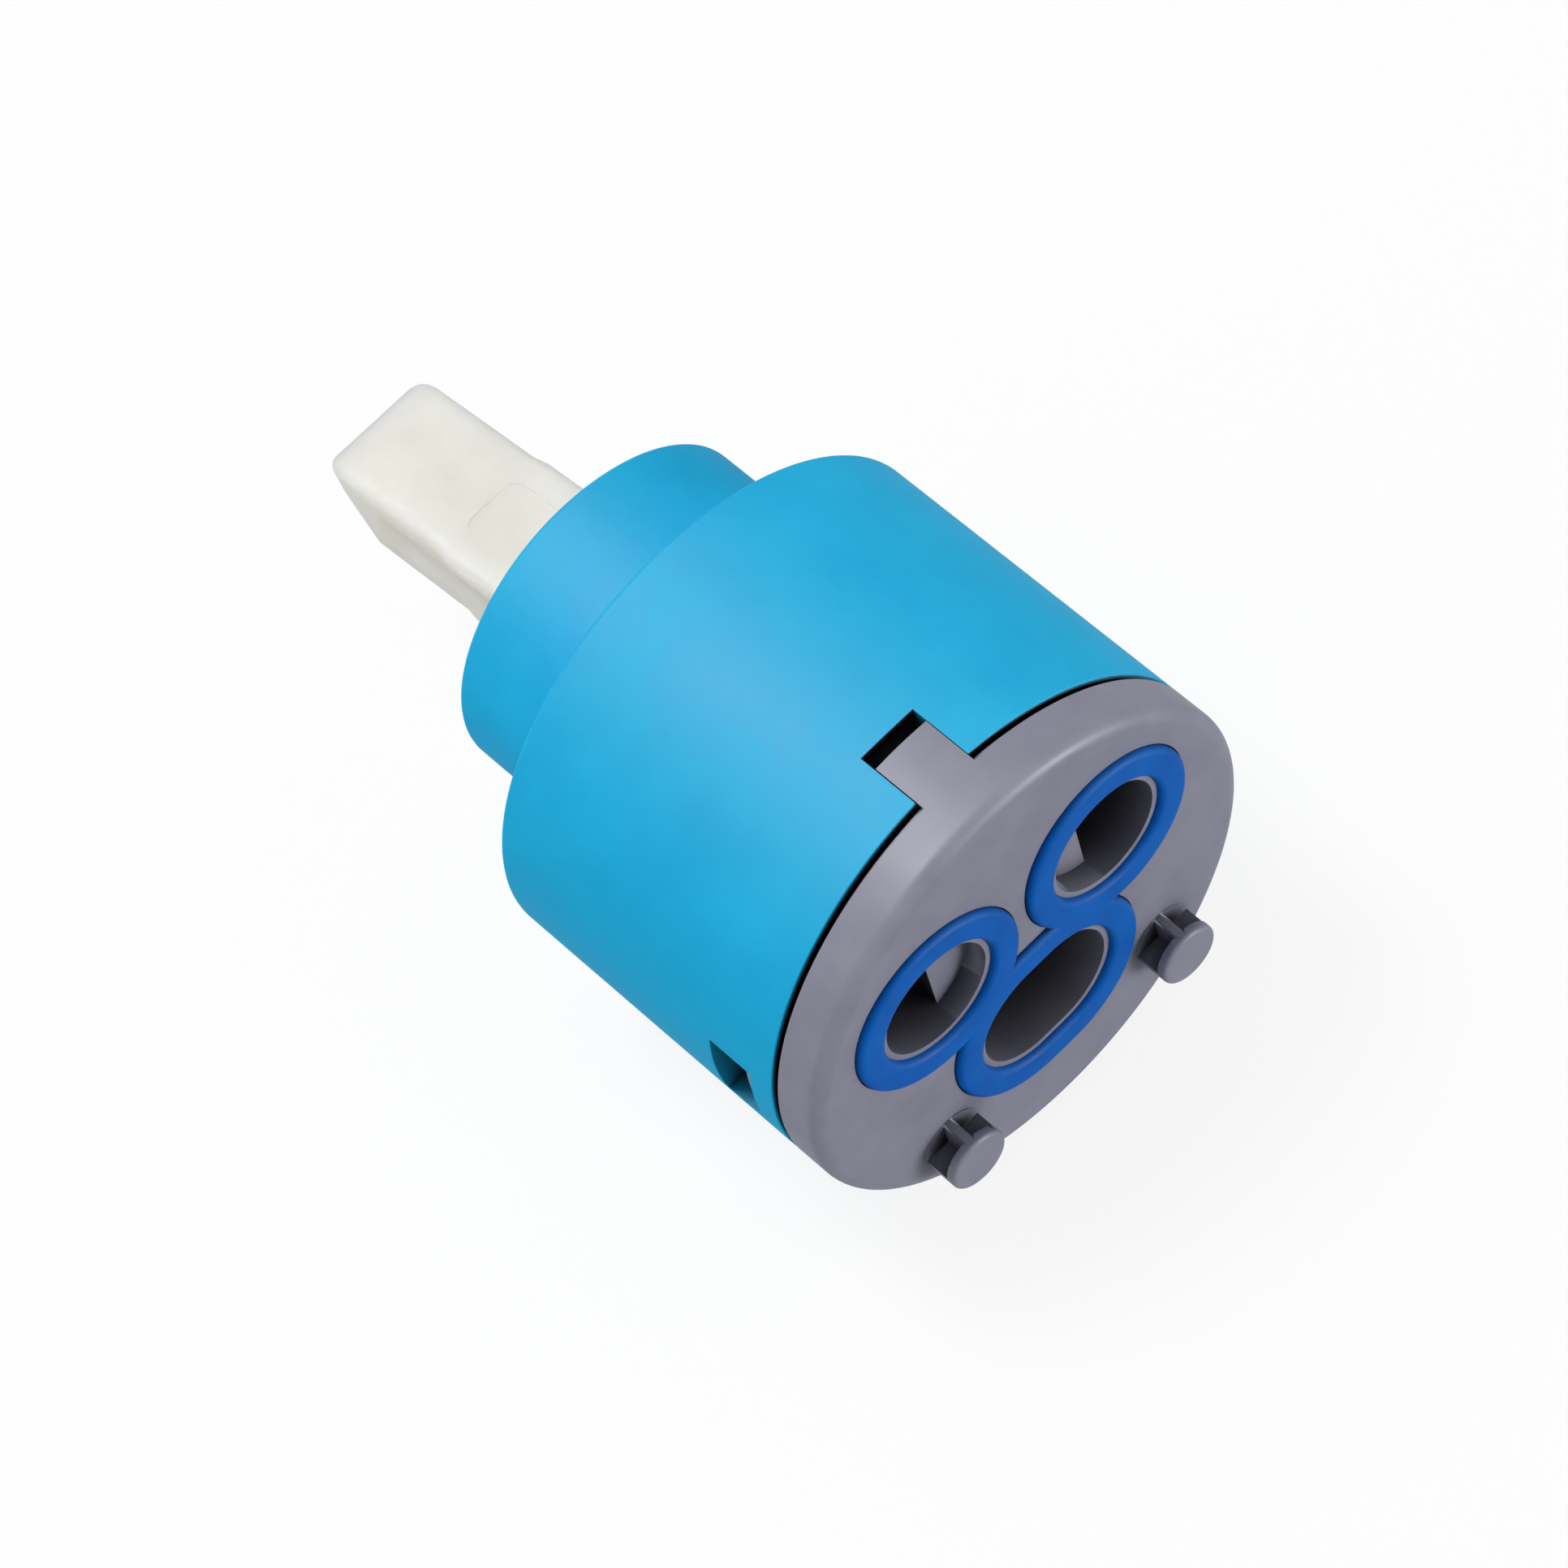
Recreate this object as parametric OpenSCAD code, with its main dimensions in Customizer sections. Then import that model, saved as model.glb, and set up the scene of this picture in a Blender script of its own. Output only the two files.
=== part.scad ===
// Ceramic disc cartridge for a single-lever mixer tap, in millimetres.
// The origin is the centre of the seat face under the base, and +Z runs up to the lever.
// The locking tab is at -Y, the hot inlet at -X, the cold inlet at +X, the outlet and the pins at +Y.
// The lever is drawn fully open, leaning towards +Y, as it leans in the photograph.

/* [Housing] */
// Outside diameter of the body and the base
body_d = 35; // [34:0.1:38]
// Outside diameter of the collar
collar_d = 23.4; // [22:0.1:25]
// Height of the collar above the shoulder
collar_h = 10.2; // [9:0.1:12]
// Wall of the skirt
skirt_wall = 2; // [1.6:0.1:2.4]
// Wall of the collar
collar_wall = 2; // [1.6:0.1:2.4]
// Thickness of the roof under the shoulder
roof_t = 2; // [1.6:0.1:3]
// Rounding of the outer edges of the housing
edge_r = 0.4; // [0.2:0.05:0.8]
// Width of the lead-in chamfer inside the skirt's mouth
lead_w = 1.3; // [0.4:0.1:1.4]

/* [Base] */
// Thickness of the base's edge band
base_t = 3.45; // [3:0.05:5]
// Rounding of the base's lower edge
base_edge_r = 1; // [0.4:0.1:1.4]
// Shadow gap between the base and the skirt
skirt_gap = 0.4; // [0.15:0.05:0.6]
// Height of the plug above the edge band
plug_h = 4.85; // [4.5:0.05:6]
// Width of the locking tab
tab_w = 4.1; // [3:0.1:6]
// Height of the locking tab above the edge band
tab_h = 3.75; // [2.5:0.05:5]
// Gap between the tab's end and the housing
tab_gap = 0.75; // [0.3:0.05:1.2]
// Angle of skirt that each snap window takes
window_angle = 21; // [14:1:30]
// Height of a snap window above the skirt's lower edge
window_up = 1.95; // [1.6:0.05:2.5]
// Height of a snap window
window_h = 3.4; // [2.8:0.1:4]
// Diameter of the locating pins
pin_d = 4.3; // [3.6:0.1:4.8]
// Length of the locating pins
pin_len = 2.5; // [1.5:0.1:4]
// Clear face between a locating pin and the outlet ring of the port seal
pin_clear = 0.87; // [0.7:0.01:1.4]
// Angle above the X axis from the outlet's round end to a locating pin
pin_angle = 32.5; // [30:0.1:36]
// Thickness of the rib between the two pockets of a pin
pin_rib = 1; // [0.7:0.1:1.4]
// Rounding of a pin's end
pin_edge_r = 0.3; // [0.15:0.05:0.5]

/* [Ports] */
// Diameter of the inlet ports
inlet_d = 8; // [7:0.1:8.4]
// Gap between the two inlet rings of the port seal
inlet_gap = 0.9; // [0.5:0.1:1.6]
// Distance of the inlet ports from the axis, towards the tab
inlet_back = 5.1; // [4.6:0.1:5.6]
// Edge of the base outside the inlet rings of the port seal
inlet_margin = 2.2892; // [2:0.0001:2.8]
// Depth of the ledge in an inlet port
ledge_depth = 1.6; // [1.2:0.1:3]
// Distance of the ledge's edge from the port's centre, towards the middle
ledge_back = 0.8; // [0.4:0.1:2]
// Width across the round ends of the outlet port
outlet_d = 8.2; // [7:0.1:8.8]
// Distance between the round ends of the outlet port
outlet_stretch = 1.8; // [0.8:0.1:2.4]
// How far the outlet ring of the port seal runs into the inlet rings
ring_join = 1.4; // [1.1:0.1:1.7]
// Width of the bare land between a port and its seal ring
land_w = 0.6; // [0.4:0.05:0.9]
// Width of a seal ring
seal_w = 1.95; // [1.6:0.05:2.3]
// Depth of the seal's groove in the base
seal_groove = 1.2; // [0.8:0.1:1.4]
// Height of the seal below the seat face
seal_proud = 0.6; // [0.3:0.05:0.9]
// Width of the rings under the fixed disc
inner_seal_w = 1.2; // [0.8:0.1:1.3]
// Depth of the grooves of the rings under the fixed disc
inner_groove = 1.3; // [0.8:0.1:1.6]

/* [Discs] */
// Thickness of the fixed disc
fixed_t = 4; // [3:0.1:5]
// Thickness of the moving disc
moving_t = 4; // [3:0.1:5]
// Width of the curved inlet ports in the fixed disc
kidney_w = 3.5; // [2.5:0.1:4]
// Angle between the round ends of a curved inlet port
kidney_angle = 34; // [20:1:36]
// Radius of the mixing chamber's three round corners
chamber_r = 4.3; // [3.6:0.1:4.6]
// Width between the two lower corners of the mixing chamber
chamber_w = 3; // [2:0.1:4]
// Distance of the mixing chamber's lower corners from the moving disc's centre
chamber_low = 2.5; // [2:0.1:3]
// Distance of the mixing chamber's upper corner from the moving disc's centre
chamber_high = 3; // [2:0.1:3.4]
// Thickness of the noise screen
screen_t = 0.6; // [0.4:0.1:1.2]
// Diameter of the holes in the noise screen
screen_hole_d = 1; // [0.6:0.1:1.2]
// Spacing of the holes in the noise screen
screen_pitch = 1.7; // [1.5:0.1:2.5]

/* [Carrier and bush] */
// Thickness of the carrier's plate
carrier_t = 3.5; // [3:0.1:5]
// Width of the carrier's rail, which runs in the bush
rail_w = 13; // [10:0.1:15]
// Length of the carrier's rail
rail_len = 11; // [9:0.1:13]
// Thickness of the bush's flange
flange_t = 4.8; // [4.3:0.1:6.5]
// Thickness of the slip ring
slip_t = 0.5; // [0.3:0.1:1.2]
// Swivel of the bush to each side of the middle
swivel_half = 50; // [30:1:60]
// Cord diameter of the damping ring
oring_d = 1.44; // [1:0.02:1.8]

/* [Lever] */
// Width of the lever
lever_w = 8.7; // [7:0.1:9.5]
// Depth of the lever from front to back
lever_d = 7.6; // [6.5:0.1:8.4]
// Reach of the lever's tip above its pivot
lever_reach = 26.4; // [22:0.1:32]
// Drop of the slanted tip from front to back
tip_drop = 1.9; // [0.5:0.1:4]
// Narrowing of the lever at the tip, on each side
tip_taper = 0.05; // [0:0.05:0.8]
// Height of the wide foot of the lever above its pivot
foot_h = 14.8; // [12:0.1:18]
// Step of the lever's wide foot, on each side
foot_step = 0.2; // [0.1:0.05:0.8]
// Width of the panel sunk into the front of the foot
panel_w = 4.5; // [3:0.1:6]
// Depth of the panel and of the grooves in the sides
panel_depth = 0.3; // [0.15:0.05:0.5]
// Height of the pivot above the shoulder
pivot_up = 4.8; // [4.6:0.1:5.2]
// Diameter of the pivot pin
pivot_d = 3; // [2.4:0.1:3.4]
// Diameter of the ball at the lever's foot
ball_d = 5.2; // [4.6:0.1:5.6]
// Diameter of the neck above the ball
neck_d = 3.8; // [3:0.1:4]
// Lean of the lever towards +Y when fully open
lean_open = 9.6; // [6:0.1:11]
// Lean of the lever towards -Y when closed
lean_closed = 14.4; // [10:0.1:15]

/* [Fits] */
// Running clearance between pieces that slide or turn on each other
run_gap = 0.05; // [0.02:0.01:0.1]
// Free clearance between pieces that pass each other
free_gap = 0.2; // [0.15:0.01:0.3]
// Fitting clearance between pieces that stay put
seat_gap = 0.05; // [0.02:0.01:0.1]

/* [Hidden] */
$fn = 96;

housing_blue = "#2fa5d5";
base_grey = "#82828e";
seal_blue = "#0b5ead";
ceramic_white = "#efece4";
lever_cream = "#e2e0d8";
bush_white = "#d8d8d4";
rubber_black = "#26262a";
steel_grey = "#a9acb0";

// How far a cutting shape runs past the face that it cuts
over = 1;

// Heights of the stack, from the base up
skirt_z = base_t + skirt_gap;
plug_z = base_t + plug_h;
seal_lift = 0.2;
fixed_z = plug_z + seal_lift;
moving_z = fixed_z + fixed_t + run_gap;
carrier_z = moving_z + moving_t;
plate_z = carrier_z + carrier_t;
bush_z = plate_z + run_gap;
flange_z = bush_z + flange_t;
slip_z = flange_z + 2 * run_gap;
roof_z = slip_z + slip_t;
shoulder_z = roof_z + roof_t;
collar_z = shoulder_z + collar_h;
bush_sunk = 0.5;
barrel_z = collar_z - bush_sunk;

// Radii, from the body inwards
body_r = body_d / 2;
bore_r = body_r - skirt_wall;
plug_r = bore_r - 3 * seat_gap;
collar_r = collar_d / 2;
neck_r = collar_r - collar_wall;
barrel_r = neck_r - 1.5 * run_gap;

// Pivot of the lever, its ball and the carrier's travel
pivot_z = shoulder_z + pivot_up;
pocket_floor = 2.9;
pocket_z = carrier_z + pocket_floor;
ball_r = ball_d / 2;
ball_z = pocket_z + free_gap + ball_r;
arm = pivot_z - ball_z;
carrier_y = -arm * sin(lean_open);
carrier_reach = arm * sin(max(lean_open, lean_closed));
channel_roof = 1;
rail_z = flange_z - channel_roof - free_gap;
channel_half = rail_len / 2 + carrier_reach + free_gap;

// Discs
fixed_r = bore_r - 0.9;
moving_r = bore_r - carrier_reach - free_gap;
key_r = fixed_r - 1.4;
key_half = 8;
key_play = 0.5;
key_h = 3;
notch_w = 5;
notch_depth = 1.6;
notch_z = moving_t / 2;
lug_back = 0.4;
carrier_r = moving_r - 0.9;
chamber_land = 0.5;
chamber_seal_w = 1.2;
chamber_groove = 1;

// Port layout: the inlet rings side by side, the outlet ring joined to both, fitted to the body as a whole
inlet_ring_r = inlet_d / 2 + land_w + seal_w;
outlet_ring_r = outlet_d / 2 + land_w + seal_w;
layout_x = inlet_ring_r + inlet_gap / 2;
layout_run = inlet_ring_r + outlet_ring_r - ring_join;
layout_y = sqrt(pow(layout_run, 2) - pow(layout_x - outlet_stretch / 2, 2));
layout_r = norm([layout_x, inlet_back]) + inlet_ring_r + inlet_margin;
grow = body_r / layout_r;

// Ports
inlet_r = grow * inlet_d / 2;
outlet_r = grow * outlet_d / 2;
land = grow * land_w;
ring_w = grow * seal_w;
inlet_x = grow * layout_x;
inlet_y = -grow * inlet_back;
inlet_dist = norm([inlet_x, inlet_y]);
inlet_angle = atan2(inlet_back, layout_x);
outlet_x = grow * outlet_stretch / 2;
outlet_y = inlet_y + grow * layout_y;
inner_land = 0.3;
inner_inset = grow * inner_land;
inner_ring_w = grow * inner_seal_w;
kidney_inset = 0.4;
outlet_inset = 0.8;
kidney_r = inlet_dist - grow * kidney_inset;
disc_outlet_r = outlet_r - grow * outlet_inset;

// Locating pins
pin_r = grow * pin_d / 2;
pin_run = grow * (outlet_ring_r + pin_clear + pin_d / 2);
pin_x = outlet_x + pin_run * cos(pin_angle);
pin_y = outlet_y + pin_run * sin(pin_angle);
pin_wall = 0.7;
pin_slot = 1.1;
pin_root = 0.1;

// Snap windows and hooks
hook_gap = 0.3;
hook_tip = 0.6;
hook_r = body_r - 0.5;
window_z = skirt_z + window_up;

// Stop between the bush's flange and the housing
stop_depth = 1;
stop_half = 15;
stop_gap = 0.5;
lug_r = bore_r - free_gap;
lug_half = 180 - stop_half - swivel_half - stop_gap;
stop_r = lug_r - stop_depth + free_gap;

// Damping ring in the collar
oring_z = shoulder_z + 1;

// Lever sizes
foot_w = lever_w + 2 * foot_step;
eye_r = lever_d / 2;
pivot_r = pivot_d / 2;
pivot_len = 2 * barrel_r - 1.2;
panel_low = 2;
panel_corner = 1;
groove_w = 2.6;
groove_low = 3;
groove_end = 3;
slot_gap = 0.15;

// A flat ring or wall turned round the Z axis, from one radius and height to another
module turned(r0, r1, z0, z1, from = 0, sweep = 360) {
    rotate([0, 0, from])
        rotate_extrude(angle = sweep)
            translate([r0, z0])
                square([r1 - r0, z1 - z0]);
}

// A turned wall that spans an angle centred on a direction
module turned_arc(r0, r1, z0, z1, centre, half) {
    turned(r0, r1, z0, z1, centre - half, 2 * half);
}

// What a square corner loses when it is rounded, for the outer edge at the top (1) or the bottom (-1)
module corner_waste(r, z, round_r, end) {
    difference() {
        translate([r - round_r, end > 0 ? z - round_r : z - over])
            square([round_r + over, round_r + over]);
        translate([r - round_r, z - end * round_r])
            circle(round_r);
    }
}

// A round body with its lower and upper outer edges rounded, where a radius is given for them
module round_body(r, z0, z1, low_r, high_r) {
    rotate_extrude()
        difference() {
            translate([0, z0])
                square([r, z1 - z0]);
            if (low_r > 0)
                corner_waste(r, z0, low_r, -1);
            if (high_r > 0)
                corner_waste(r, z1, high_r, 1);
        }
}

// A flat outline with two round ends
module slot_outline(a, b, r) {
    run = norm(b - a);
    translate(a)
        circle(r);
    translate(b)
        circle(r);
    translate(a)
        rotate(atan2(b[1] - a[1], b[0] - a[0]))
            translate([0, -r])
                square([run, 2 * r]);
}

// Outlet outline, grown by a margin
module outlet_outline(r) {
    slot_outline([-outlet_x, outlet_y], [outlet_x, outlet_y], r);
}

// One inlet outline, on side -1 or 1
module inlet_outline(side, r) {
    translate([side * inlet_x, inlet_y])
        circle(r);
}

// The three port outlines together, grown by a margin
module port_outlines(margin) {
    for (side = [-1, 1])
        inlet_outline(side, inlet_r + margin);
    outlet_outline(outlet_r + margin);
}

// The three joined rings of the port seal, narrowed on both sides by an inset
module seal_outline(inset) {
    difference() {
        port_outlines(land + ring_w - inset);
        port_outlines(land + inset);
    }
}

// Outline of the mixing chamber, grown by a margin
module chamber_outline(margin) {
    left = [-chamber_w / 2, -chamber_low];
    right = [chamber_w / 2, -chamber_low];
    top = [0, chamber_high];
    r = chamber_r + margin;
    polygon([left, right, top]);
    slot_outline(left, right, r);
    slot_outline(right, top, r);
    slot_outline(top, left, r);
}

// Blue sleeve: skirt, shoulder and collar in one moulding
module housing() {
    color(housing_blue)
        difference() {
            union() {
                difference() {
                    round_body(body_r, skirt_z, shoulder_z, edge_r / 2, edge_r);
                    translate([0, 0, skirt_z - over])
                        cylinder(r = bore_r, h = roof_z - skirt_z + over);
                    translate([0, 0, skirt_z - over])
                        cylinder(r1 = bore_r + lead_w + over, r2 = bore_r, h = lead_w + over);
                }
                round_body(collar_r, roof_z, collar_z, 0, edge_r);
                turned_arc(stop_r, bore_r + over, bush_z, roof_z + over, -90, stop_half);
            }
            translate([0, 0, roof_z - over])
                cylinder(r = neck_r, h = collar_z - roof_z + 2 * over);
            tab_notch();
            for (side = [0, 180])
                turned_arc(bore_r - over, body_r + over, window_z, window_z + window_h,
                           side, window_angle / 2);
        }
}

// Notch in the skirt for the base's tab
module tab_notch() {
    half = tab_w / 2 + seat_gap;
    translate([-half, -body_r - over, skirt_z - over])
        cube([2 * half, skirt_wall + 2 * over, over + tab_h + tab_gap - skirt_gap]);
}

// Grey base: edge band, plug, tab, hooks, keys for the fixed disc, ports and pins
module base_plate() {
    color(base_grey)
        union() {
            difference() {
                union() {
                    round_body(body_r, 0, base_t, base_edge_r, edge_r / 2);
                    cylinder(r = plug_r, h = plug_z);
                    base_tab();
                    for (side = [0, 180])
                        base_hook(side);
                    for (side = [90, -90])
                        turned_arc(key_r + 2 * seat_gap, plug_r - 2 * seat_gap, plug_z - over, plug_z + key_h,
                                   side, key_half);
                }
                base_ports();
                base_grooves();
            }
            for (side = [-1, 1])
                translate([side * pin_x, pin_y, 0])
                    locating_pin();
        }
}

// Tab that locks the base in the skirt's notch
module base_tab() {
    intersection() {
        translate([-tab_w / 2, -body_r - over, base_edge_r])
            cube([tab_w, skirt_wall + 2 * over, base_t + tab_h - base_edge_r]);
        cylinder(r = body_r, h = base_t + tab_h + over);
    }
}

// Barb that snaps into a window of the skirt, at an angle round the base
module base_hook(centre) {
    low = window_z + hook_gap;
    half = window_angle / 2 - 1;
    rotate([0, 0, centre - half])
        rotate_extrude(angle = 2 * half)
            polygon([[plug_r - over, low], [hook_r, low], [hook_r, low + hook_tip],
                     [plug_r - over, plug_z - hook_gap]]);
}

// Ports through the base: inlets with a ledge towards the middle, and a plain outlet
module base_ports() {
    translate([0, 0, -over])
        linear_extrude(plug_z + 2 * over)
            outlet_outline(outlet_r);
    for (side = [-1, 1]) {
        translate([0, 0, -over])
            linear_extrude(ledge_depth + over)
                inlet_outline(side, inlet_r);
        intersection() {
            linear_extrude(plug_z + over)
                inlet_outline(side, inlet_r);
            translate([side * (inlet_x - grow * ledge_back) + (side - 1) * inlet_d, inlet_y - inlet_d, 0])
                cube([2 * inlet_d, 2 * inlet_d, plug_z + over]);
        }
    }
}

// Grooves in the base for the seals on both of its sides
module base_grooves() {
    translate([0, 0, -over])
        linear_extrude(seal_groove + over)
            seal_outline(0);
    translate([0, 0, plug_z - inner_groove])
        linear_extrude(inner_groove + over)
            union() {
                for (side = [-1, 1])
                    inner_ring(side);
                outlet_ring();
            }
}

// Outline of the ring under the fixed disc at one inlet
module inner_ring(side) {
    difference() {
        inlet_outline(side, inlet_r + inner_inset + inner_ring_w);
        inlet_outline(side, inlet_r + inner_inset);
    }
}

// Outline of the ring under the fixed disc at the outlet
module outlet_ring() {
    difference() {
        outlet_outline(outlet_r + inner_inset + inner_ring_w);
        outlet_outline(outlet_r + inner_inset);
    }
}

// Locating pin, cored by two pockets with a rib between them
module locating_pin() {
    difference() {
        round_body(pin_r, -pin_len, over, pin_edge_r, 0);
        for (pocket_x = [-pin_rib / 2 - pin_slot, pin_rib / 2])
            translate([pocket_x, -pin_r - over, pin_wall - pin_len])
                cube([pin_slot, pin_r + over - pin_rib / 2, pin_len - pin_wall - pin_root]);
    }
}

// Rubber seal of three joined rings, with its free face narrowed to a crown
module port_seal() {
    crown = ring_w / 4;
    color(seal_blue)
        union() {
            translate([0, 0, -seat_gap])
                linear_extrude(seal_groove + seat_gap)
                    seal_outline(seat_gap);
            translate([0, 0, -seal_proud])
                linear_extrude(seal_groove + seal_proud)
                    seal_outline(crown);
        }
}

// A ring in the base's upper grooves, standing proud to press on the fixed disc
module inner_seal() {
    color(seal_blue)
        translate([0, 0, plug_z - inner_groove])
            linear_extrude(inner_groove + seal_lift)
                children();
}

module hot_inlet_seal() {
    inner_seal()
        inner_ring(-1);
}

module cold_inlet_seal() {
    inner_seal()
        inner_ring(1);
}

module outlet_seal() {
    inner_seal()
        outlet_ring();
}

// A curved inlet port of the fixed disc
module kidney(side, z0, h) {
    centre = side > 0 ? -inlet_angle : 180 + inlet_angle;
    turned_arc(kidney_r - kidney_w / 2, kidney_r + kidney_w / 2, z0, z0 + h, centre, kidney_angle / 2);
    for (end = [-1, 1])
        rotate([0, 0, centre + end * kidney_angle / 2])
            translate([kidney_r, 0, z0])
                cylinder(d = kidney_w - seat_gap, h = h);
}

// Ceramic disc that stays on the base, keyed by its two notches
module fixed_disc() {
    color(ceramic_white)
        difference() {
            translate([0, 0, fixed_z])
                cylinder(r = fixed_r, h = fixed_t);
            for (side = [-1, 1])
                kidney(side, fixed_z - over, fixed_t + 2 * over);
            translate([0, 0, fixed_z - over])
                linear_extrude(fixed_t + 2 * over)
                    outlet_outline(disc_outlet_r);
            for (side = [90, -90])
                turned_arc(key_r, fixed_r + over, fixed_z - over, plug_z + key_h + free_gap,
                           side, key_half + key_play);
        }
}

// Ceramic disc with the mixing chamber, carried by the lever
module moving_disc() {
    color(ceramic_white)
        translate([0, carrier_y, moving_z])
            difference() {
                cylinder(r = moving_r, h = moving_t);
                translate([0, 0, -over])
                    linear_extrude(moving_t + 2 * over)
                        chamber_outline(0);
                rim_blocks(notch_w, moving_r - notch_depth, moving_r + over, notch_z, moving_t + over);
            }
}

// Two blocks at the rim of the moving disc, between two radii and two heights
module rim_blocks(w, r0, r1, z0, z1) {
    for (side = [0, 180])
        rotate([0, 0, side])
            translate([r0, -w / 2, z0])
                cube([r1 - r0, w, z1 - z0]);
}

// Ring between the moving disc and its carrier, round the mixing chamber
module chamber_seal() {
    color(rubber_black)
        translate([0, carrier_y, carrier_z])
            linear_extrude(chamber_groove)
                chamber_ring();
}

// Outline of the ring round the mixing chamber
module chamber_ring() {
    difference() {
        chamber_outline(chamber_land + chamber_seal_w);
        chamber_outline(chamber_land);
    }
}

// Perforated plate at the top of the mixing chamber
module noise_screen() {
    reach = chamber_r + chamber_high;
    steps = floor(reach / screen_pitch);
    color(bush_white)
        translate([0, carrier_y, carrier_z - screen_t])
            difference() {
                linear_extrude(screen_t)
                    chamber_outline(-seat_gap);
                for (i = [-steps : steps], j = [-steps : steps])
                    if (norm([i, j] * screen_pitch) < chamber_r - screen_hole_d)
                        translate([i * screen_pitch, j * screen_pitch, -over])
                            cylinder(d = screen_hole_d, h = screen_t + 2 * over);
            }
}

// Plastic driver: plate on the moving disc, lugs in its notches, rail in the bush, pocket for the ball
module disc_carrier() {
    color(bush_white)
        translate([0, carrier_y, 0])
            difference() {
                union() {
                    translate([0, 0, carrier_z])
                        cylinder(r = carrier_r, h = carrier_t);
                    translate([-rail_w / 2, -rail_len / 2, carrier_z])
                        cube([rail_w, rail_len, rail_z - carrier_z]);
                    rim_blocks(notch_w - 2 * seat_gap, moving_r - notch_depth + seat_gap, moving_r - lug_back,
                               moving_z + notch_z + free_gap, plate_z);
                }
                translate([0, 0, pocket_z])
                    cylinder(r = ball_r + run_gap, h = rail_z - pocket_z + over);
                translate([0, 0, carrier_z - over])
                    linear_extrude(chamber_groove + over)
                        chamber_ring();
            }
}

// Turning bush: flange with its stop lug, barrel in the collar, slot for the lever, channel for the rail
module swivel_bush() {
    color(bush_white)
        difference() {
            union() {
                turned(0, lug_r - stop_depth, bush_z, flange_z);
                turned_arc(0, lug_r, bush_z, flange_z, 90, lug_half);
                translate([0, 0, bush_z])
                    cylinder(r = barrel_r, h = barrel_z - bush_z);
            }
            bush_channel();
            lever_slot();
            translate([-barrel_r - over, 0, pivot_z])
                rotate([0, 90, 0])
                    cylinder(r = pivot_r, h = 2 * (barrel_r + over));
            oring_groove();
        }
}

// Channel in the bush's underside for the carrier's rail
module bush_channel() {
    half = rail_w / 2 + run_gap;
    translate([-half, -channel_half, bush_z - over])
        cube([2 * half, 2 * channel_half, rail_z + free_gap - bush_z + over]);
}

// Room in the bush for the lever and its ball at both ends of the tilt
module lever_slot() {
    wide = foot_w / 2 + slot_gap / 2;
    deep = eye_r + slot_gap;
    thin = neck_d / 2 + slot_gap;
    drop = pivot_z - rail_z;
    translate([-wide, 0, pivot_z])
        rotate([0, 90, 0])
            cylinder(r = deep, h = 2 * wide);
    for (lean = [-lean_open, lean_closed])
        translate([0, 0, pivot_z])
            rotate([lean, 0, 0]) {
                translate([-wide, -deep, 0])
                    cube([2 * wide, 2 * deep, collar_h + over]);
                translate([-thin, -thin, -drop])
                    cube([2 * thin, 2 * thin, drop]);
            }
    ball_top = pivot_z - arm * cos(max(lean_open, lean_closed)) + ball_r + slot_gap;
    translate([0, 0, rail_z])
        linear_extrude(ball_top - rail_z)
            slot_outline([0, -arm * sin(lean_open)], [0, arm * sin(lean_closed)], ball_r + slot_gap);
}

// Groove round the barrel for the damping ring
module oring_groove() {
    half = oring_d / 2 + seat_gap;
    turned(barrel_r - oring_d, barrel_r + over, oring_z - half, oring_z + half);
}

// Damping ring round the bush, just clear of the collar's bore
module neck_oring() {
    color(rubber_black)
        rotate_extrude()
            translate([barrel_r - oring_d / 2, oring_z])
                circle(d = oring_d);
}

// Low-friction washer under the shoulder
module slip_ring() {
    color(bush_white)
        turned(neck_r + free_gap, stop_r - free_gap, slip_z, roof_z);
}

// Steel dowel through the bush and the lever
module lever_pin() {
    color(steel_grey)
        translate([-pivot_len / 2, 0, pivot_z])
            rotate([0, 90, 0])
                cylinder(r = pivot_r, h = pivot_len);
}

// Cream lever on its pin, leaning as in the open position
module lever() {
    color(lever_cream)
        translate([0, 0, pivot_z])
            rotate([-lean_open, 0, 0])
                difference() {
                    union() {
                        lever_blade();
                        translate([-foot_w / 2, 0, 0])
                            rotate([0, 90, 0])
                                cylinder(r = eye_r, h = foot_w);
                        translate([0, 0, -arm])
                            cylinder(d = neck_d, h = arm);
                        translate([0, 0, -arm])
                            sphere(r = ball_r);
                    }
                    translate([-foot_w / 2 - over, 0, 0])
                        rotate([0, 90, 0])
                            cylinder(r = pivot_r + run_gap, h = foot_w + 2 * over);
                    front_panel();
                    for (side = [-1, 1])
                        side_groove(side);
                }
}

// Blade of the lever: wide foot, tapered upper part and slanted tip
module lever_blade() {
    foot = foot_w / 2;
    root = lever_w / 2;
    tip = root - tip_taper;
    intersection() {
        translate([0, eye_r, 0])
            rotate([90, 0, 0])
                linear_extrude(lever_d)
                    polygon([[-foot, 0], [foot, 0], [foot, foot_h], [root, foot_h], [tip, lever_reach],
                             [-tip, lever_reach], [-root, foot_h], [-foot, foot_h]]);
        translate([-foot - over, 0, 0])
            rotate([90, 0, 90])
                linear_extrude(foot_w + 2 * over)
                    polygon([[-eye_r, 0], [eye_r, 0], [eye_r, lever_reach - tip_drop],
                             [-eye_r, lever_reach]]);
    }
}

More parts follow.
